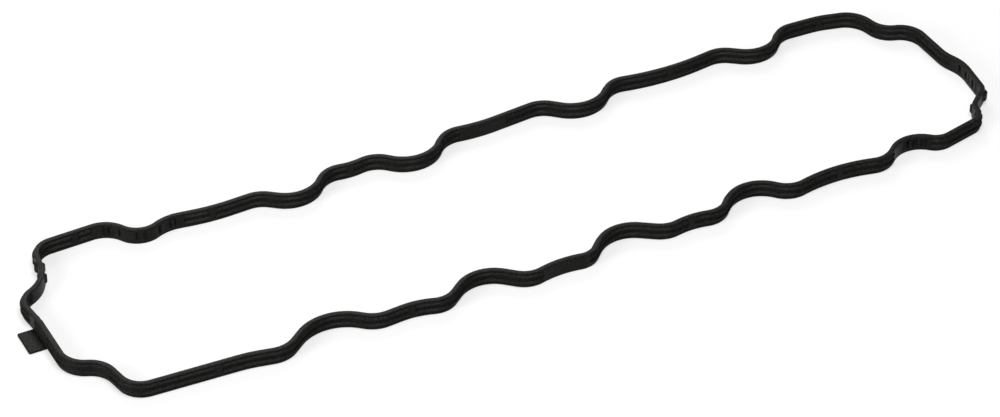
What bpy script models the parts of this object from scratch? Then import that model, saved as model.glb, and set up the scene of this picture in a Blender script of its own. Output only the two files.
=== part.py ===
"""Oil pan gasket: one moulded rubber ring that lies flat, foot down, with +X along its length.

The ring is one section swept round a rounded outline. Each bolt of the joint has a relief,
where the ring swings inwards to pass the bolt. The section has a bead on top and underneath,
two ribs on each flank and a waist between them. The flanks are plain at the bridges.
"""

from math import ceil, cos, pi, sin, tan

import bmesh
import bpy
from mathutils import Vector

# Section of the ring, in metres: widths are across both flanks, heights are from the foot
HEIGHT = 0.0145
BEAD_WIDTH = 0.0050
BEAD_LAND = 0.0036
BEAD_EDGE = 0.0007
RIB_WIDTH = 0.0078
GROOVE_WIDTH = 0.0038
LOW_NECK = 0.0031
LOW_RIB = 0.0052
LOW_WAIST = 0.0066
HIGH_WAIST = 0.0098
HIGH_RIB = 0.0112
HIGH_NECK = 0.0125

# Radii of the outline, at the middle of the section
SHOULDER = 0.025
RELIEF = 0.032
WIDE_RELIEF = 0.042
CORNER = 0.020
SWEEP = 0.040
TIGHT_RELIEF = 0.022
JOG = 0.010

# Outline, clockwise from above: each row is a corner's x and y before rounding, and its radius
RIGHT_END = (
    (0.4030, 0.0580, SHOULDER),
    (0.4305, 0.0505, SHOULDER),
    (0.4330, -0.0010, SWEEP),
    (0.4405, -0.0185, SWEEP),
    (0.4360, -0.0595, JOG),
    (0.4170, -0.0755, JOG),
    (0.4110, -0.0945, 0.013),
)
NEAR_SIDE = (
    (0.3640, -0.1055, CORNER),
    (0.3395, -0.0830, RELIEF),
    (0.3075, -0.1090, SHOULDER),
    (0.2620, -0.0970, 0.160),
    (0.2140, -0.1080, SHOULDER),
    (0.1805, -0.0720, RELIEF),
    (0.1460, -0.1085, SHOULDER),
    (0.1190, -0.1025, 0.080),
    (0.0940, -0.1075, SHOULDER),
    (0.0520, -0.0795, RELIEF),
    (0.0200, -0.1110, SHOULDER),
    (-0.0075, -0.1060, 0.120),
    (-0.0390, -0.1130, SHOULDER),
    (-0.0760, -0.0810, RELIEF),
    (-0.1140, -0.1105, SHOULDER),
    (-0.1385, -0.1020, 0.085),
    (-0.1760, -0.1050, SHOULDER),
    (-0.2135, -0.0735, WIDE_RELIEF),
    (-0.2575, -0.1080, SHOULDER),
    (-0.2890, -0.1015, 0.110),
)
LEFT_END = (
    (-0.3890, -0.0970, CORNER),
    (-0.3970, -0.0565, SHOULDER),
    (-0.4245, -0.0460, SHOULDER),
    (-0.4250, 0.0175, JOG),
    (-0.4260, 0.0235, JOG),
    (-0.4290, 0.0480, 0.018),
    (-0.3990, 0.0625, 0.037),
    (-0.3935, 0.1090, 0.018),
)
FAR_SIDE = (
    (-0.3250, 0.1115, SHOULDER),
    (-0.3065, 0.0815, TIGHT_RELIEF),
    (-0.2790, 0.0945, SWEEP),
    (-0.2390, 0.0885, 0.180),
    (-0.1950, 0.0905, SHOULDER),
    (-0.1585, 0.0625, RELIEF),
    (-0.1315, 0.0950, SHOULDER),
    (-0.1075, 0.0910, 0.055),
    (-0.0845, 0.0950, SHOULDER),
    (-0.0485, 0.0600, RELIEF),
    (-0.0160, 0.0975, SHOULDER),
    (0.0150, 0.0930, 0.150),
    (0.0785, 0.0990, SHOULDER),
    (0.1155, 0.0665, RELIEF),
    (0.1485, 0.0985, SHOULDER),
    (0.1980, 0.0885, 0.250),
    (0.2570, 0.0970, SHOULDER),
    (0.2955, 0.0690, RELIEF),
    (0.3200, 0.1000, SHOULDER),
    (0.3610, 0.0985, 0.080),
    (0.3950, 0.0900, SHOULDER),
)
OUTLINE = RIGHT_END + NEAR_SIDE + LEFT_END + FAR_SIDE

# Bridges: short stretches with plain flanks, each centred on the spot of the ring nearest to x, y
BRIDGE_LENGTH = 0.0075
BRIDGES = (
    (-0.3555, 0.1105),
    (-0.2385, 0.0895),
    (-0.1085, 0.0925),
    (0.2035, 0.0925),
    (0.3605, 0.0985),
    (0.2645, -0.1015),
    (0.1175, -0.1035),
    (-0.1435, -0.1025),
    (-0.3155, -0.0995),
)

# Blocks: the same over a long stretch, one in the middle of each side
BLOCK_LENGTH = 0.046
BLOCKS = ((0.0205, 0.0955), (-0.0045, -0.1085))

# Plain stretches at the ends, each from one spot to another
PLAIN_STRETCHES = (
    ((-0.3415, 0.1115), (-0.2625, 0.0925)),
    ((-0.4266, 0.0270), (-0.4247, 0.0170)),
    ((-0.4185, 0.0535), (-0.3952, 0.0952)),
    ((0.4355, -0.0065), (0.4130, -0.0875)),
    ((0.3595, -0.1005), (0.3165, -0.1015)),
)

# Bars: thin upright ribs on both flanks of the plain stretches
BAR_WIDTH = 0.0030
BAR_PROUD = 0.0007
BARS = (
    (-0.3265, 0.1075),
    (-0.3055, 0.0895),
    (-0.2880, 0.0905),
    (-0.2745, 0.0935),
    (0.3485, -0.0935),
    (0.3395, -0.0915),
    (0.3335, -0.0915),
    (0.4380, -0.0325),
    (0.4380, -0.0455),
)

# Nubs: upright pads that grip the groove, on the outer or the inner flank: each is x, y and length
NUB_PROUD = 0.0016
NUB_EASE = 0.0014
OUTER_NUBS = (
    (-0.3964, 0.0845, 0.0065),
    (-0.4000, 0.0715, 0.0065),
    (0.4345, -0.0615, 0.0115),
    (0.4145, -0.0830, 0.0090),
)
INNER_NUBS = (
    (-0.3964, 0.0845, 0.0065),
    (-0.4000, 0.0715, 0.0065),
    (0.4170, -0.0755, 0.0045),
)

# Tab: the flat lug on the outside of the left end, low on the flank
TAB_REACH = 0.0182
TAB_WIDTH = 0.0270
TAB_MIDDLE = 0.0060
TAB_THICKNESS = 0.0020
TAB_RISE = 0.0004
TAB_CORNER = 0.0012

# How the surface is drawn: the turn between stations, the ease into a bridge, the least step
ARC_STEP = 0.30
EASE = 0.0009
LEAST_STEP = 0.0010
SEARCH_STEP = 0.0005

RUBBER_COLOUR = (0.010, 0.010, 0.009, 1.0)
RUBBER_ROUGHNESS = 0.45


def clear_scene():
    for obj in list(bpy.data.objects):
        bpy.data.objects.remove(obj, do_unlink=True)


def tangent_lengths(spots, radii):
    """How far each corner's rounding reaches along its two edges, cut back where two would meet."""
    count = len(spots)
    turns = []
    for i, spot in enumerate(spots):
        came = spot - spots[i - 1]
        goes = spots[(i + 1) % count] - spot
        turns.append(came.angle_signed(goes))
    reach = [radius * abs(tan(turn / 2)) for radius, turn in zip(radii, turns)]
    share = []
    for i in range(count):
        edge = (spots[(i + 1) % count] - spots[i]).length
        share.append(min(1.0, edge / (reach[i] + reach[(i + 1) % count])))
    lengths = [reach[i] * min(share[i - 1], share[i]) for i in range(count)]
    return lengths, turns


def line_piece(start, end):
    heading = (end - start).normalized()
    return (end - start).length, 0.0, lambda s: (start + heading * s, heading)


def arc_piece(corner, came, goes, length, turn):
    """A rounded corner: its length, its turn, and the spot and heading at a distance along it."""
    radius = length / abs(tan(turn / 2))
    side = 1.0 if turn < 0 else -1.0
    start = corner - came * length
    across = Vector((-came.y, came.x)) * side
    centre = start + across * radius

    def at(s):
        angle = side * s / radius
        heading = Vector((came.x * cos(angle) - came.y * sin(angle), came.x * sin(angle) + came.y * cos(angle)))
        return centre - Vector((-heading.y, heading.x)) * side * radius, heading

    return radius * abs(turn), turn, at


def lay_path():
    """The outline as arcs and lines, each with the distance where it starts."""
    spots = [Vector(row[:2]) for row in OUTLINE]
    lengths, turns = tangent_lengths(spots, [row[2] for row in OUTLINE])
    pieces = []
    for i, spot in enumerate(spots):
        after = spots[(i + 1) % len(spots)]
        came = (spot - spots[i - 1]).normalized()
        goes = (after - spot).normalized()
        pieces.append(arc_piece(spot, came, goes, lengths[i], turns[i]))
        start = spot + goes * lengths[i]
        end = after - goes * lengths[(i + 1) % len(spots)]
        if (end - start).dot(goes) > LEAST_STEP / 10:
            pieces.append(line_piece(start, end))
    path = []
    distance = 0.0
    for length, turn, at in pieces:
        path.append((distance, length, turn, at))
        distance += length
    return path, distance


def place(path, total, s):
    """The spot and heading of the ring's middle line at a distance along it."""
    s %= total
    for start, length, _, at in reversed(path):
        if s >= start:
            return at(min(s - start, length))


def nearest(samples, spot):
    return min(samples, key=lambda sample: (sample[1] - Vector(spot)).length_squared)[0]


def centred_one(samples, spot, length):
    """Where a feature of this length starts and ends, centred on the place nearest to a spot."""
    middle = nearest(samples, spot)
    return middle - length / 2, middle + length / 2


def find_features(path, total):
    """Each plain stretch, bar and nub as the distances where it starts and ends."""
    steps = ceil(total / SEARCH_STEP)
    samples = [(i * total / steps, place(path, total, i * total / steps)[0]) for i in range(steps)]

    def centred(spots, length):
        return [centred_one(samples, spot, length) for spot in spots]

    plain = centred(BRIDGES, BRIDGE_LENGTH) + centred(BLOCKS, BLOCK_LENGTH)
    for first, last in PLAIN_STRETCHES:
        ends = sorted((nearest(samples, first), nearest(samples, last)))
        plain.append(tuple(ends))
    return {
        "plain": plain,
        "bars": centred(BARS, BAR_WIDTH),
        "outer": [centred_one(samples, (x, y), length) for x, y, length in OUTER_NUBS],
        "inner": [centred_one(samples, (x, y), length) for x, y, length in INNER_NUBS],
    }


def rise(s, stretch, ease):
    """0 outside a stretch and 1 inside it, with a straight ramp at each end."""
    start, end = stretch
    return max(0.0, min(1.0, (s - start) / ease, (end - s) / ease))


def find_stations(path, total, features):
    """The distances at which the section is placed: first the features' edges, then the arcs."""
    edges = []
    for name, ease in (("plain", EASE), ("bars", BAR_WIDTH / 2), ("outer", NUB_EASE), ("inner", NUB_EASE)):
        for start, end in features[name]:
            edges += [start, start + ease, end - ease, end]
    kept = []
    for edge in sorted(edge % total for edge in edges):
        if not kept or edge - kept[-1] > LEAST_STEP / 4:
            kept.append(edge)
    rounds = []
    for start, length, turn, _ in path:
        count = max(1, ceil(abs(turn) / ARC_STEP))
        rounds += [start + length * i / count for i in range(count)]
    spare = [s for s in rounds if all(abs(s - edge) > LEAST_STEP for edge in kept)]
    return sorted(kept + spare)


def section_levels():
    """The section from foot to crown: height, half-width with ribs, and whether it is on the body."""
    bead = BEAD_WIDTH / 2
    land = BEAD_LAND / 2
    groove = GROOVE_WIDTH / 2
    rib = RIB_WIDTH / 2
    return (
        (0.0, land, False),
        (BEAD_EDGE, bead, False),
        (LOW_NECK, groove, False),
        (LOW_RIB, rib, True),
        (LOW_WAIST, groove, True),
        (HIGH_WAIST, groove, True),
        (HIGH_RIB, rib, True),
        (HIGH_NECK, groove, False),
        (HEIGHT - BEAD_EDGE, bead, False),
        (HEIGHT, land, False),
    )


def flank(s, levels, features, nubs):
    """The half-width of one flank at each level of the section."""
    plain = max(rise(s, stretch, EASE) for stretch in features["plain"])
    bar = max(rise(s, stretch, BAR_WIDTH / 2) for stretch in features["bars"])
    nub = max(rise(s, stretch, NUB_EASE) for stretch in nubs)
    flat = BEAD_WIDTH / 2
    widths = []
    for depth, width, body in levels:
        land = 0.0 < depth < HEIGHT
        width += (flat - width) * plain if land else 0.0
        if body:
            width = max(width, flat + bar * BAR_PROUD if bar else 0.0)
            width = max(width, flat + nub * NUB_PROUD if nub else 0.0)
        widths.append(width)
    return widths


def build_ring():
    path, total = lay_path()
    features = find_features(path, total)
    levels = section_levels()
    mesh = bmesh.new()
    rings = []
    for s in find_stations(path, total, features):
        spot, heading = place(path, total, s)
        outwards = Vector((-heading.y, heading.x))
        outer = flank(s, levels, features, features["outer"])
        inner = flank(s, levels, features, features["inner"])
        up = [(spot + outwards * width, level[0]) for width, level in zip(outer, levels)]
        down = [(spot - outwards * width, level[0]) for width, level in zip(inner, levels)]
        rings.append([mesh.verts.new((*at, z)) for at, z in up + down[::-1]])
    for i, ring in enumerate(rings):
        last = rings[i - 1]
        for j in range(len(ring)):
            mesh.faces.new((last[j - 1], last[j], ring[j], ring[j - 1]))
    bmesh.ops.recalc_face_normals(mesh, faces=mesh.faces)
    return mesh


def wall_left():
    """Where the middle line of the left end wall lies, at the tab's middle."""
    low, high = LEFT_END[2], LEFT_END[3]
    share = (TAB_MIDDLE - low[1]) / (high[1] - low[1])
    return low[0] + (high[0] - low[0]) * share


def build_tab():
    """The tab's blank, from inside the wall outwards, with its two free corners rounded."""
    wall = wall_left()
    mesh = bmesh.new()
    bmesh.ops.create_cube(mesh, size=1.0)
    bmesh.ops.scale(mesh, vec=(TAB_REACH, TAB_WIDTH, TAB_THICKNESS), verts=mesh.verts)
    middle = (wall - TAB_REACH / 2, TAB_MIDDLE, TAB_RISE + TAB_THICKNESS / 2)
    bmesh.ops.translate(mesh, vec=middle, verts=mesh.verts)
    free = [
        edge
        for edge in mesh.edges
        if all(vert.co.x < wall - TAB_REACH / 2 for vert in edge.verts)
        and abs(edge.verts[0].co.z - edge.verts[1].co.z) > TAB_THICKNESS / 2
    ]
    bmesh.ops.bevel(mesh, geom=free, offset=TAB_CORNER, segments=3, profile=0.5, affect="EDGES")
    return mesh


def rubber():
    material = bpy.data.materials.new("moulded_rubber")
    material.use_nodes = True
    shader = material.node_tree.nodes["Principled BSDF"]
    shader.inputs["Base Color"].default_value = RUBBER_COLOUR
    shader.inputs["Roughness"].default_value = RUBBER_ROUGHNESS
    shader.inputs["Metallic"].default_value = 0.0
    return material


def add_object(name, mesh, shift):
    """An object of this mesh, moved so that the part's box is centred on the origin."""
    bmesh.ops.translate(mesh, vec=(-shift.x, -shift.y, 0.0), verts=mesh.verts)
    data = bpy.data.meshes.new(name)
    mesh.to_mesh(data)
    mesh.free()
    obj = bpy.data.objects.new(name, data)
    bpy.context.scene.collection.objects.link(obj)
    return obj


def box_middle(meshes):
    spots = [vert.co for mesh in meshes for vert in mesh.verts]
    low = Vector([min(spot[axis] for spot in spots) for axis in range(3)])
    high = Vector([max(spot[axis] for spot in spots) for axis in range(3)])
    return (low + high) / 2


def main():
    clear_scene()
    ring = build_ring()
    tab = build_tab()
    shift = box_middle((ring, tab))
    gasket = add_object("gasket", ring, shift)
    blank = add_object("tab_blank", tab, shift)
    blank.hide_render = True
    blank.display_type = "WIRE"
    join = gasket.modifiers.new("tab", "BOOLEAN")
    join.operation = "UNION"
    join.object = blank
    gasket.data.materials.append(rubber())
    gasket.data.shade_smooth()
    gasket.data.set_sharp_from_angle(angle=pi / 6)


main()
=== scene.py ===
"""Looks of the oil pan gasket: one moulded rubber ring that lies flat on a pale floor.

The ring is modelled as a straight length of its section, lying along X from 0. Bridges, bars, pockets
and nubs are shaped on that length, which is then bent round the outline with a Curve modifier. The
tab is drawn out of the bent ring.
"""

from math import ceil, radians, tan

import bmesh
import bpy
from mathutils import Euler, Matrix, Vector


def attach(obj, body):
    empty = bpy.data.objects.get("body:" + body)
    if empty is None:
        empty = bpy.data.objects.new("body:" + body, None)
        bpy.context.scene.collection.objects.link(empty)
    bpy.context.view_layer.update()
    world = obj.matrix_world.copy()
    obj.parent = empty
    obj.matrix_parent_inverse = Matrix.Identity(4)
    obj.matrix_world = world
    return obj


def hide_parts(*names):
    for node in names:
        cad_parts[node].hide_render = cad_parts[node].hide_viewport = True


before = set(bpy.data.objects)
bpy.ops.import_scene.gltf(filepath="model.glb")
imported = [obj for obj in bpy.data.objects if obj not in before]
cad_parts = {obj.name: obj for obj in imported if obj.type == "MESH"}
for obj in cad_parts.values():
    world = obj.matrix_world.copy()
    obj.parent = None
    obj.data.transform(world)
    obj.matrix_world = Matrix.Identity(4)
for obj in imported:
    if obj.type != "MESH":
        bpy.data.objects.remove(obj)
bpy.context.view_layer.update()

# Section of the ring, in metres. A bead runs along the foot and along the crown, and between them each
# level is a height and the width over both flanks there: out to the ribs, and in to the grooves
HEIGHT = 0.0145
BEAD_WIDTH = 0.0050
LEVELS = (
    (0.0031, 0.0036),
    (0.0052, 0.0078),
    (0.0066, 0.0032),
    (0.0098, 0.0032),
    (0.0112, 0.0078),
    (0.0125, 0.0036),
)

# Roundings of the section's long edges, each with how many faces draw it
BEAD_ROUND = 0.0009
BEAD_FACES = 4
RIB_ROUND = 0.0003
RIB_FACES = 3
GROOVE_ROUND = 0.0003
GROOVE_FACES = 2

# Radii of the outline, at the middle of the section. One that is used once stands in its own row
SHOULDER = 0.025
RELIEF = 0.032
WIDE_RELIEF = 0.042
CORNER = 0.020
SWEEP = 0.040
TIGHT_RELIEF = 0.022
JOG = 0.010

# Outline, clockwise from above: each row is a corner's x and y before rounding, and its radius
RIGHT_END = (
    (0.4030, 0.0580, SHOULDER),
    (0.4305, 0.0505, SHOULDER),
    (0.4330, -0.0010, SWEEP),
    (0.4405, -0.0185, SWEEP),
    (0.4360, -0.0595, JOG),
    (0.4170, -0.0755, JOG),
    (0.4110, -0.0945, 0.013),
)
NEAR_SIDE = (
    (0.3640, -0.1055, CORNER),
    (0.3395, -0.0830, RELIEF),
    (0.3075, -0.1090, SHOULDER),
    (0.2620, -0.0970, 0.160),
    (0.2140, -0.1080, SHOULDER),
    (0.1805, -0.0720, RELIEF),
    (0.1460, -0.1085, SHOULDER),
    (0.1190, -0.1025, 0.080),
    (0.0940, -0.1075, SHOULDER),
    (0.0520, -0.0795, RELIEF),
    (0.0200, -0.1110, SHOULDER),
    (-0.0075, -0.1060, 0.120),
    (-0.0390, -0.1130, SHOULDER),
    (-0.0760, -0.0810, RELIEF),
    (-0.1140, -0.1105, SHOULDER),
    (-0.1385, -0.1020, 0.085),
    (-0.1760, -0.1050, SHOULDER),
    (-0.2135, -0.0735, WIDE_RELIEF),
    (-0.2575, -0.1080, SHOULDER),
    (-0.2890, -0.1015, 0.110),
)
LEFT_END = (
    (-0.3890, -0.0970, CORNER),
    (-0.3970, -0.0565, SHOULDER),
    (-0.4245, -0.0460, SHOULDER),
    (-0.4250, 0.0175, JOG),
    (-0.4260, 0.0235, JOG),
    (-0.4290, 0.0480, 0.018),
    (-0.3990, 0.0625, 0.037),
    (-0.3935, 0.1090, 0.018),
)
FAR_SIDE = (
    (-0.3250, 0.1115, SHOULDER),
    (-0.3065, 0.0815, TIGHT_RELIEF),
    (-0.2790, 0.0945, SWEEP),
    (-0.2390, 0.0885, 0.180),
    (-0.1950, 0.0905, SHOULDER),
    (-0.1585, 0.0625, RELIEF),
    (-0.1315, 0.0950, SHOULDER),
    (-0.1075, 0.0910, 0.055),
    (-0.0845, 0.0950, SHOULDER),
    (-0.0485, 0.0600, RELIEF),
    (-0.0160, 0.0975, SHOULDER),
    (0.0150, 0.0930, 0.150),
    (0.0785, 0.0990, SHOULDER),
    (0.1155, 0.0665, RELIEF),
    (0.1485, 0.0985, SHOULDER),
    (0.1980, 0.0885, 0.250),
    (0.2570, 0.0970, SHOULDER),
    (0.2955, 0.0690, RELIEF),
    (0.3200, 0.1000, SHOULDER),
    (0.3610, 0.0985, 0.080),
    (0.3950, 0.0900, SHOULDER),
)
OUTLINE = RIGHT_END + NEAR_SIDE + LEFT_END + FAR_SIDE

# Middle of the finished part's box in the outline's own coordinates. The frame has it at 0, 0
PLAN_MIDDLE = Vector((-0.00048, -0.00012, 0.0))

# Bridges: short stretches with plain flanks, each centred on the spot of the ring nearest to x, y
BRIDGE_LENGTH = 0.0075
BRIDGES = (
    (-0.3555, 0.1105),
    (-0.2385, 0.0895),
    (-0.1085, 0.0925),
    (0.2035, 0.0925),
    (0.3605, 0.0985),
    (0.2645, -0.1015),
    (0.1175, -0.1035),
    (-0.1435, -0.1025),
    (-0.3155, -0.0995),
)

# Blocks: the same over a long stretch, one in the middle of each side
BLOCK_LENGTH = 0.046
BLOCKS = ((0.0205, 0.0955), (-0.0045, -0.1085))

# Plain stretches at the ends, each from one spot to another
PLAIN_STRETCHES = (
    ((-0.3415, 0.1115), (-0.2625, 0.0925)),
    ((-0.4266, 0.0270), (-0.4247, 0.0170)),
    ((-0.4185, 0.0535), (-0.3952, 0.0952)),
    ((0.4355, -0.0065), (0.4130, -0.0875)),
    ((0.3595, -0.1005), (0.3165, -0.1015)),
)

# Bars: thin upright ribs on both flanks of the plain stretches
BAR_WIDTH = 0.0030
BAR_PROUD = 0.0007
BARS = (
    (-0.3265, 0.1080),
    (-0.3040, 0.0885),
    (-0.2855, 0.0910),
    (-0.2745, 0.0935),
    (0.3485, -0.0935),
    (0.3395, -0.0915),
    (0.3335, -0.0915),
    (0.4390, -0.0355),
    (0.4375, -0.0495),
)

# Pockets: small recesses beside the bars, in the middle of both flanks: each is x, y and length
POCKET_DEEP = 0.0013
POCKET_EASE = 0.0006
POCKET_LOW = 0.0046
POCKET_HIGH = 0.0118
POCKETS = (
    (-0.3285, 0.1090, 0.0035),
    (-0.3245, 0.1070, 0.0035),
    (-0.3170, 0.0995, 0.0024),
    (-0.3065, 0.0895, 0.0032),
    (-0.3010, 0.0880, 0.0032),
    (-0.2885, 0.0900, 0.0036),
    (-0.2770, 0.0930, 0.0032),
    (-0.2720, 0.0935, 0.0026),
    (0.3365, -0.0920, 0.0042),
    (0.3430, -0.0920, 0.0028),
    (0.3460, -0.0925, 0.0026),
    (0.3515, -0.0950, 0.0026),
    (0.3550, -0.0970, 0.0026),
    (0.4400, -0.0200, 0.0045),
    (0.4395, -0.0305, 0.0045),
    (0.4380, -0.0440, 0.0045),
)

# Nubs: rounded pads that grip the groove, on the outer or the inner flank: each is x, y, length, and
# how far it stands out. The ease at each end is a share of the length
NUB_EASE = 0.35
NUB_LOW = 0.0040
NUB_HIGH = 0.0118
OUTER_NUBS = (
    (-0.3958, 0.0860, 0.0085, 0.0022),
    (-0.4000, 0.0715, 0.0065, 0.0016),
    (0.4340, -0.0630, 0.0110, 0.0024),
    (0.4145, -0.0830, 0.0090, 0.0016),
)
INNER_NUBS = (
    (-0.3964, 0.0845, 0.0062, 0.0017),
    (-0.4002, 0.0710, 0.0062, 0.0017),
    (0.4170, -0.0755, 0.0040, 0.0017),
)

# Tab: the flat lug on the outside of the left end, low on the flank. The margin is how far round it the
# flank is cut
TAB_MIDDLE = (-0.4248, 0.0060)
TAB_REACH = 0.0182
TAB_WIDTH = 0.0270
TAB_LOW = 0.0005
TAB_HIGH = 0.0025
TAB_CORNER = 0.0012
TAB_CORNER_FACES = 4
TAB_MARGIN = 0.0020

# How fine the surface is drawn: along the route, along the ring, and the ease into a plain stretch
ROUTE_STEP = 0.0012
LEAST_ARC_STEPS = 2
RING_STEP = 0.0018
EASE = 0.0012
EASE_STEPS = 3

# Subdivide makes this many cuts at most. Places nearer than NEAR count as one, and so do shares of an
# ease that agree to this many digits
MOST_CUTS = 100
NEAR = 0.00001
SHARE_DIGITS = 4

# A face points along an axis when its normal has more than this share of it
FACING = 0.1

# Faces that turn less than FLAT_TURN are one flat face, and edges that turn more than CRISP_TURN are crisp
FLAT_TURN = radians(1.0)
CRISP_TURN = radians(40.0)

# Sizes of the rubber's patterns: the bloom's clouds, and the grains
BLOOM_SIZE = 0.011
GRAIN_SIZE = 0.0014

# A Mix node's sockets for colours: the share of the second colour, both colours, and the result
MIX_SHARE = 0
MIX_FIRST = 6
MIX_SECOND = 7
MIX_RESULT = 2

# Studio: the floor lies just under the foot, and each softbox is a name, place, size and power
FLOOR_SIZE = 30.0
FLOOR_GAP = 0.0001
FLOOR_GLOW = 0.56
ROOM_LIGHT = 0.2
SOFTBOXES = (
    ("overhead_softbox", (0.0, -0.9, 2.8), 1.1, 50.0),
    ("rear_softbox", (0.8, 2.9, 2.3), 1.8, 48.0),
    ("left_softbox", (-2.5, -0.5, 1.1), 1.2, 40.0),
)

# Camera of the photograph: where it aims and from how far, its turn from the part's Y and its look down
# in degrees, its lens and sensor in millimetres, and how far it sees
CAMERA_AIM = Vector((-0.01305, -0.00637, 0.0))
CAMERA_DISTANCE = 3.40748
CAMERA_TURN = 26.7344
CAMERA_DOWN = 38.0
LENS = 144.0
SENSOR = 36.0
SIGHT = 60.0


def deselect():
    bpy.ops.object.select_all(action="DESELECT")


def in_object_mode():
    bpy.ops.object.mode_set(mode="OBJECT")


def in_edit_mode():
    bpy.ops.object.mode_set(mode="EDIT")


def select_where(kind, wanted):
    """In edit mode, selects only the vertices, edges or faces that are wanted, and says how many."""
    bpy.ops.mesh.select_mode(type=kind)
    bpy.ops.mesh.select_all(action="DESELECT")
    mesh = bmesh.from_edit_mesh(bpy.context.object.data)
    parts = {"VERT": mesh.verts, "EDGE": mesh.edges, "FACE": mesh.faces}[kind]
    chosen = [part for part in parts if wanted(part)]
    for part in chosen:
        part.select_set(True)
    mesh.select_flush_mode()
    bmesh.update_edit_mesh(bpy.context.object.data)
    return len(chosen)


def round_corners(spots, radii):
    """How far each corner's rounding reaches along its edges, cut back where two meet, and its turn."""
    count = len(spots)
    turns = []
    for i, spot in enumerate(spots):
        came = spot - spots[i - 1]
        goes = spots[(i + 1) % count] - spot
        turns.append(came.xy.angle_signed(goes.xy))
    reach = [radius * abs(tan(turn / 2)) for radius, turn in zip(radii, turns)]
    share = []
    for i in range(count):
        edge = (spots[(i + 1) % count] - spots[i]).length
        share.append(min(1.0, edge / (reach[i] + reach[(i + 1) % count])))
    return [reach[i] * min(share[i - 1], share[i]) for i in range(count)], turns


def draw_on(step):
    """Draws the wire's end point on by a straight step."""
    if step.length > NEAR:
        bpy.ops.mesh.extrude_vertices_move(TRANSFORM_OT_translate={"value": step})


def draw_route():
    """The ring's middle line as an open wire that ends where it began, then made a curve."""
    spots = [Vector((x, y, 0.0)) - PLAN_MIDDLE for x, y, _ in OUTLINE]
    lengths, turns = round_corners(spots, [radius for _, _, radius in OUTLINE])
    start = (spots[-1] + spots[0]) / 2
    deselect()
    bpy.ops.mesh.primitive_plane_add(size=NEAR, location=start)
    in_edit_mode()
    bpy.ops.mesh.merge(type="CENTER")
    here = start
    for i, spot in enumerate(spots):
        came = (spot - spots[i - 1]).normalized()
        goes = (spots[(i + 1) % len(spots)] - spot).normalized()
        enter = spot - came * lengths[i]
        draw_on(enter - here)
        radius = lengths[i] / abs(tan(turns[i] / 2))
        side = 1.0 if turns[i] < 0 else -1.0
        centre = enter + Vector((-came.y, came.x, 0.0)) * side * radius
        steps = max(LEAST_ARC_STEPS, ceil(radius * abs(turns[i]) / ROUTE_STEP))
        bpy.ops.mesh.spin(steps=steps, angle=turns[i], center=centre, axis=(0.0, 0.0, 1.0))
        here = spot + goes * lengths[i]
    draw_on(start - here)
    in_object_mode()
    bpy.ops.object.transform_apply(location=True)
    bpy.ops.object.convert(target="CURVE")
    route = bpy.context.object
    route.name = "route"
    route.data.dimensions = "2D"
    return route


def route_points(route):
    """The route's points, in order from the ring's seam."""
    return [Vector(point.co[:3]) for point in route.data.splines[0].points]


def along(points, spot):
    """The distance along the route to its place nearest to a spot of the plan."""
    target = Vector((*spot, 0.0)) - PLAN_MIDDLE
    best = None
    distance = 0.0
    for first, second in zip(points, points[1:]):
        step = second - first
        share = max(0.0, min(1.0, (target - first).dot(step) / step.length_squared))
        gap = (first + step * share - target).length
        if best is None or gap < best[0]:
            best = (gap, distance + step.length * share)
        distance += step.length
    return best[1]


def route_length(points):
    return sum((second - first).length for first, second in zip(points, points[1:]))


def smooth(share):
    """Eases a share that runs from 0 to 1, so that it starts and ends level."""
    return share * share * (3.0 - 2.0 * share)


def find_features(points):
    """Where each feature starts and ends along the ring, and for a nub how far it stands out."""

    def centred_one(spot, length):
        middle = along(points, spot)
        return middle - length / 2, middle + length / 2

    def centred(spots, length):
        return [centred_one(spot, length) for spot in spots]

    plain = centred(BRIDGES, BRIDGE_LENGTH) + centred(BLOCKS, BLOCK_LENGTH)
    for first, last in PLAIN_STRETCHES:
        plain.append(tuple(sorted((along(points, first), along(points, last)))))
    return {
        "plain": sorted(plain),
        "bars": sorted(centred(BARS, BAR_WIDTH)),
        "pockets": sorted(centred_one((x, y), length) for x, y, length in POCKETS),
        "outer": sorted((*centred_one((x, y), length), proud) for x, y, length, proud in OUTER_NUBS),
        "inner": sorted((*centred_one((x, y), length), proud) for x, y, length, proud in INNER_NUBS),
    }


def add_strip(length):
    """A straight block as wide as the ring's beads and as high as the ring, open at both ends."""
    deselect()
    bpy.ops.mesh.primitive_cube_add(size=1.0, location=(length / 2, 0.0, HEIGHT / 2))
    strip = bpy.context.object
    strip.name = "rubber_ring"
    strip.scale = (length, BEAD_WIDTH, HEIGHT)
    bpy.ops.object.transform_apply(location=True, scale=True)
    in_edit_mode()
    select_where("FACE", lambda face: abs(face.normal.x) > FACING)
    bpy.ops.mesh.delete(type="ONLY_FACE")
    in_object_mode()
    return strip


def shape_section():
    """Cuts the strip at each level, pulls the ribs out and the grooves in, and rounds the long edges."""
    in_edit_mode()
    for height, _ in LEVELS:
        bpy.ops.mesh.select_all(action="SELECT")
        bpy.ops.mesh.bisect(plane_co=(0.0, 0.0, height), plane_no=(0.0, 0.0, 1.0))
    for height, width in LEVELS:
        select_where("VERT", lambda vert: abs(vert.co.z - height) < NEAR)
        bpy.ops.transform.resize(value=(1.0, width / BEAD_WIDTH, 1.0), center_override=(0.0, 0.0, 0.0))
    ribs = [height for height, width in LEVELS if width > BEAD_WIDTH]
    grooves = [height for height, width in LEVELS if width < BEAD_WIDTH]
    for heights, rounding, faces in (
        ((0.0, HEIGHT), BEAD_ROUND, BEAD_FACES),
        (ribs, RIB_ROUND, RIB_FACES),
        (grooves, GROOVE_ROUND, GROOVE_FACES),
    ):
        select_where("EDGE", lambda edge: runs_along(edge) and at_level(edge, heights))
        bpy.ops.mesh.bevel(offset=rounding, segments=faces, profile=0.5, affect="EDGES")
    in_object_mode()


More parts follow.
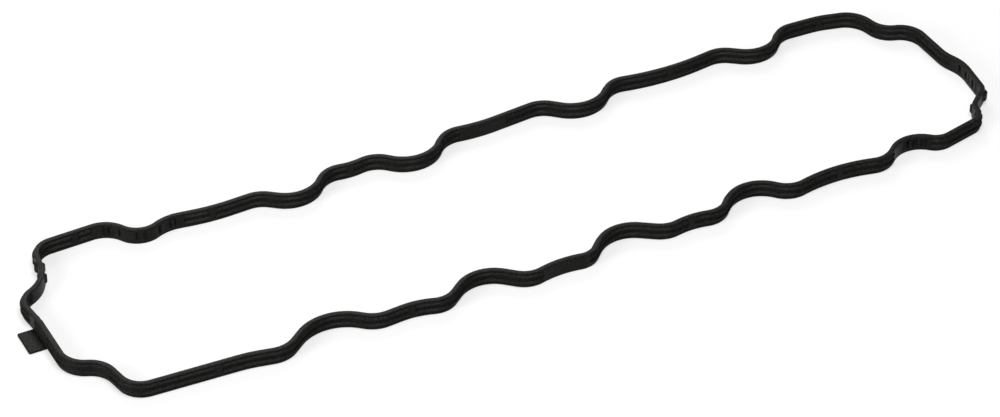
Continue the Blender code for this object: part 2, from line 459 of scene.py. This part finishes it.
def runs_along(edge):
    return abs(edge.verts[0].co.x - edge.verts[1].co.x) > NEAR


def at_level(edge, heights):
    return any(all(abs(vert.co.z - height) < NEAR for vert in edge.verts) for height in heights)


def ease_stops(start, end, ease):
    """The places along a feature where its ease at each end is drawn."""
    stops = []
    for i in range(EASE_STEPS + 1):
        share = i / EASE_STEPS
        stops += [start + ease * share, end - ease * share]
    return stops


def cut_across(length, features):
    """Cuts the strip across at every stop of every feature, and says where it is cut."""
    stops = []
    for start, end in features["plain"]:
        stops += ease_stops(start, end, EASE)
    for start, end, _ in features["outer"] + features["inner"]:
        stops += ease_stops(start, end, (end - start) * NUB_EASE)
    for start, end in features["bars"]:
        stops += ease_stops(start, end, BAR_WIDTH / 2)
    for start, end in features["pockets"]:
        stops += ease_stops(start, end, POCKET_EASE)
    kept = [0.0]
    for stop in sorted(stops):
        if stop - kept[-1] > NEAR and length - stop > NEAR:
            kept.append(stop)
    in_edit_mode()
    for stop in kept[1:]:
        bpy.ops.mesh.select_all(action="SELECT")
        bpy.ops.mesh.bisect(plane_co=(stop, 0.0, 0.0), plane_no=(1.0, 0.0, 0.0))
    in_object_mode()
    return kept + [length]


def move_flank(side, start, end, ease, half_width, low, high, both_ways):
    """Brings one flank to a half-width between two places: outwards alone, or inwards too."""
    target = side * half_width

    def share_at(x):
        return smooth(max(0.0, min(1.0, (x - start) / ease, (end - x) / ease)))

    mesh = bmesh.from_edit_mesh(bpy.context.object.data)
    shares = set()
    for vert in mesh.verts:
        if start + NEAR < vert.co.x < end - NEAR:
            shares.add(round(share_at(vert.co.x), SHARE_DIGITS))
    for share in sorted(shares):
        if share <= 0.0:
            continue

        def wanted(vert):
            if not start + NEAR < vert.co.x < end - NEAR or not low < vert.co.z < high:
                return False
            if vert.co.y * side <= NEAR or round(share_at(vert.co.x), SHARE_DIGITS) != share:
                return False
            return both_ways or vert.co.y * side < half_width

        if select_where("VERT", wanted):
            bpy.ops.transform.resize(value=(1.0, 1.0 - share, 1.0), center_override=(0.0, target, 0.0))


def shape_features(features):
    """Levels the flanks at the plain stretches, sinks the pockets and raises the bars and the nubs."""
    in_edit_mode()
    flat = BEAD_WIDTH / 2
    sunk = flat - POCKET_DEEP
    raised = flat + BAR_PROUD
    low = BEAD_ROUND + NEAR
    high = HEIGHT - BEAD_ROUND - NEAR
    lowest = LEVELS[0][0]
    highest = LEVELS[-1][0]
    for side in (1.0, -1.0):
        for start, end in features["plain"]:
            move_flank(side, start, end, EASE, flat, low, high, True)
        for start, end in features["pockets"]:
            move_flank(side, start, end, POCKET_EASE, sunk, POCKET_LOW, POCKET_HIGH, True)
        for start, end in features["bars"]:
            move_flank(side, start, end, BAR_WIDTH / 2, raised, lowest, highest, False)
    for side, name in ((1.0, "outer"), (-1.0, "inner")):
        for start, end, proud in features[name]:
            ease = (end - start) * NUB_EASE
            move_flank(side, start, end, ease, flat + proud, NUB_LOW, NUB_HIGH, False)
    in_object_mode()


def draw_tab():
    """Draws the tab straight out of the left end's outer flank, low down, and rounds its free corners."""
    wall = TAB_MIDDLE[0] - PLAN_MIDDLE.x
    free = wall - TAB_REACH
    start = TAB_MIDDLE[1] - PLAN_MIDDLE.y - TAB_WIDTH / 2
    end = start + TAB_WIDTH

    def on_flank(face, margin):
        spot = face.calc_center_median()
        beside = wall - BEAD_WIDTH < spot.x < wall and start - margin < spot.y < end + margin
        return beside and face.normal.x < -FACING and spot.z < TAB_HIGH + margin

    in_edit_mode()
    for place, normal in (
        ((0.0, 0.0, TAB_LOW), (0.0, 0.0, 1.0)),
        ((0.0, 0.0, TAB_HIGH), (0.0, 0.0, 1.0)),
        ((0.0, start, 0.0), (0.0, 1.0, 0.0)),
        ((0.0, end, 0.0), (0.0, 1.0, 0.0)),
    ):
        select_where("FACE", lambda face: on_flank(face, TAB_MARGIN))
        bpy.ops.mesh.bisect(plane_co=place, plane_no=normal)
    select_where("FACE", lambda face: on_flank(face, 0.0) and face.calc_center_median().z > TAB_LOW)
    bpy.ops.mesh.extrude_region_move(TRANSFORM_OT_translate={"value": (-TAB_REACH, 0.0, 0.0)})
    bpy.ops.transform.resize(value=(0.0, 1.0, 1.0), center_override=(free, 0.0, 0.0))
    select_where("FACE", lambda face: any(abs(vert.co.x - free) < NEAR for vert in face.verts))
    bpy.ops.mesh.dissolve_limited(angle_limit=FLAT_TURN)

    def at_corner(vert):
        return abs(vert.co.x - free) < NEAR and min(abs(vert.co.y - start), abs(vert.co.y - end)) < NEAR

    select_where("EDGE", lambda edge: all(at_corner(vert) for vert in edge.verts))
    bpy.ops.mesh.bevel(offset=TAB_CORNER, segments=TAB_CORNER_FACES, profile=0.5, affect="EDGES")
    in_object_mode()


def cut_finely(stops):
    """Cuts the long edges up until none is longer than the ring's step."""
    counts = {}
    for first, second in zip(stops, stops[1:]):
        cuts = min(MOST_CUTS, ceil((second - first) / RING_STEP) - 1)
        if cuts > 0:
            counts.setdefault(cuts, []).append((first, second))
    in_edit_mode()
    for cuts, spans in sorted(counts.items()):

        def wanted(edge):
            left, right = sorted(vert.co.x for vert in edge.verts)
            return any(
                abs(left - first) < NEAR / 2 and abs(right - last) < NEAR / 2 for first, last in spans
            )

        if select_where("EDGE", wanted):
            bpy.ops.mesh.subdivide(number_cuts=cuts)
    in_object_mode()


def bend_round(strip, route):
    """Bends the strip round the route and joins its two ends, which lie up to NEAR apart."""
    deselect()
    strip.select_set(True)
    bpy.context.view_layer.objects.active = strip
    bend = strip.modifiers.new("bend", "CURVE")
    bend.object = route
    bend.deform_axis = "POS_X"
    bpy.ops.object.modifier_apply(modifier=bend.name)
    seam = route_points(route)[0]
    in_edit_mode()
    select_where("VERT", lambda vert: (vert.co.xy - seam.xy).length < BEAD_WIDTH)
    bpy.ops.mesh.remove_doubles(threshold=NEAR * 2)
    bpy.ops.mesh.select_all(action="SELECT")
    bpy.ops.mesh.normals_make_consistent(inside=False)
    in_object_mode()
    bpy.data.objects.remove(route, do_unlink=True)


def build_ring():
    route = draw_route()
    points = route_points(route)
    length = route_length(points)
    features = find_features(points)
    strip = add_strip(length)
    shape_section()
    stops = cut_across(length, features)
    shape_features(features)
    cut_finely(stops)
    bend_round(strip, route)
    draw_tab()
    bpy.ops.object.shade_smooth_by_angle(angle=CRISP_TURN)
    return strip


def linear(code):
    """A colour written as sRGB hex, as the linear values that a shader takes."""
    values = [int(code[i : i + 2], 16) / 255 for i in (1, 3, 5)]
    return (*[v / 12.92 if v <= 0.04045 else ((v + 0.055) / 1.055) ** 2.4 for v in values], 1.0)


def add_node(material, kind, settings, links):
    """Adds a node, sets its properties and unlinked inputs, and links its other inputs."""
    tree = material.node_tree
    node = tree.nodes.new(kind)
    for name, value in settings.items():
        if isinstance(name, str) and hasattr(node, name):
            setattr(node, name, value)
        else:
            node.inputs[name].default_value = value
    for name, source in links.items():
        tree.links.new(source, node.inputs[name])
    return node


def moulded_rubber():
    """Black nitrile rubber from a fine-blasted mould: near-black, satin, finely speckled, unevenly dull.

    Blasting leaves grains of about 0.1 mm. They are drawn coarser here, since finer ones don't show.
    """
    material = bpy.data.materials.new("moulded_rubber")
    material.use_nodes = True
    shader = material.node_tree.nodes["Principled BSDF"]
    spots = add_node(material, "ShaderNodeTexCoord", {}, {}).outputs["Object"]
    bloom = add_node(
        material,
        "ShaderNodeTexNoise",
        {"Scale": 1 / BLOOM_SIZE, "Detail": 3.0},
        {"Vector": spots},
    )
    grain = add_node(
        material,
        "ShaderNodeTexNoise",
        {"Scale": 1 / GRAIN_SIZE, "Detail": 2.0},
        {"Vector": spots},
    )
    speckle = add_node(
        material,
        "ShaderNodeMapRange",
        {"From Min": 0.35, "From Max": 0.65},
        {"Value": grain.outputs["Fac"]},
    )
    colour = add_node(
        material,
        "ShaderNodeMix",
        {"data_type": "RGBA", MIX_FIRST: linear("#0d0d0c"), MIX_SECOND: linear("#262624")},
        {MIX_SHARE: speckle.outputs["Result"]},
    )
    rough = add_node(
        material,
        "ShaderNodeMapRange",
        {"To Min": 0.36, "To Max": 0.52},
        {"Value": bloom.outputs["Fac"]},
    )
    bump = add_node(
        material,
        "ShaderNodeBump",
        {"Strength": 0.35, "Distance": 0.0002},
        {"Height": grain.outputs["Fac"]},
    )
    links = material.node_tree.links
    links.new(colour.outputs[MIX_RESULT], shader.inputs["Base Color"])
    links.new(rough.outputs["Result"], shader.inputs["Roughness"])
    links.new(bump.outputs["Normal"], shader.inputs["Normal"])
    shader.inputs["Specular IOR Level"].default_value = 0.08
    return material


def studio_floor():
    """Matt white paper: pale to the camera and in reflections, and greyer to the light that it bounces."""
    material = bpy.data.materials.new("studio_paper")
    material.use_nodes = True
    shader = material.node_tree.nodes["Principled BSDF"]
    path = add_node(material, "ShaderNodeLightPath", {}, {})
    seen = add_node(
        material,
        "ShaderNodeMath",
        {"operation": "MAXIMUM"},
        {0: path.outputs["Is Camera Ray"], 1: path.outputs["Is Glossy Ray"]},
    )
    shown = add_node(
        material,
        "ShaderNodeMath",
        {"operation": "MAXIMUM"},
        {0: seen.outputs[0], 1: path.outputs["Is Transmission Ray"]},
    )
    colour = add_node(
        material,
        "ShaderNodeMix",
        {"data_type": "RGBA", MIX_FIRST: linear("#808080"), MIX_SECOND: linear("#b0b0b0")},
        {MIX_SHARE: shown.outputs[0]},
    )
    glow = add_node(
        material,
        "ShaderNodeMath",
        {"operation": "MULTIPLY", 1: FLOOR_GLOW},
        {0: shown.outputs[0]},
    )
    links = material.node_tree.links
    links.new(colour.outputs[MIX_RESULT], shader.inputs["Base Color"])
    links.new(glow.outputs[0], shader.inputs["Emission Strength"])
    shader.inputs["Emission Color"].default_value = linear("#ffffff")
    shader.inputs["Roughness"].default_value = 0.9
    shader.inputs["Specular IOR Level"].default_value = 0.0
    return material


def add_floor():
    deselect()
    bpy.ops.mesh.primitive_plane_add(size=FLOOR_SIZE, location=(0.0, 0.0, -FLOOR_GAP))
    floor = bpy.context.object
    floor.name = "floor"
    floor.data.materials.append(studio_floor())


def add_softbox(name, place, size, power):
    """A square soft light that faces the middle of the ring."""
    bpy.ops.object.light_add(type="AREA", location=place)
    lamp = bpy.context.object
    lamp.name = name
    lamp.data.size = size
    lamp.data.energy = power
    lamp.rotation_euler = Vector(place).to_track_quat("Z", "Y").to_euler()


def light_room():
    for name, place, size, power in SOFTBOXES:
        add_softbox(name, place, size, power)
    world = bpy.data.worlds.new("studio")
    world.use_nodes = True
    background = world.node_tree.nodes["Background"]
    background.inputs["Color"].default_value = linear("#ffffff")
    background.inputs["Strength"].default_value = ROOM_LIGHT
    bpy.context.scene.world = world


def add_camera():
    turned = Euler((radians(90.0 - CAMERA_DOWN), 0.0, radians(-CAMERA_TURN)))
    backwards = turned.to_matrix() @ Vector((0.0, 0.0, 1.0))
    bpy.ops.object.camera_add(location=CAMERA_AIM + backwards * CAMERA_DISTANCE)
    camera = bpy.context.object
    camera.rotation_euler = turned
    camera.data.lens = LENS
    camera.data.sensor_width = SENSOR
    camera.data.clip_end = SIGHT
    bpy.context.scene.camera = camera


ring = build_ring()
ring.data.materials.append(moulded_rubber())
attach(ring, "root")
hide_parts("gasket")
add_floor()
light_room()
add_camera()
bpy.context.scene.view_settings.view_transform = "Standard"
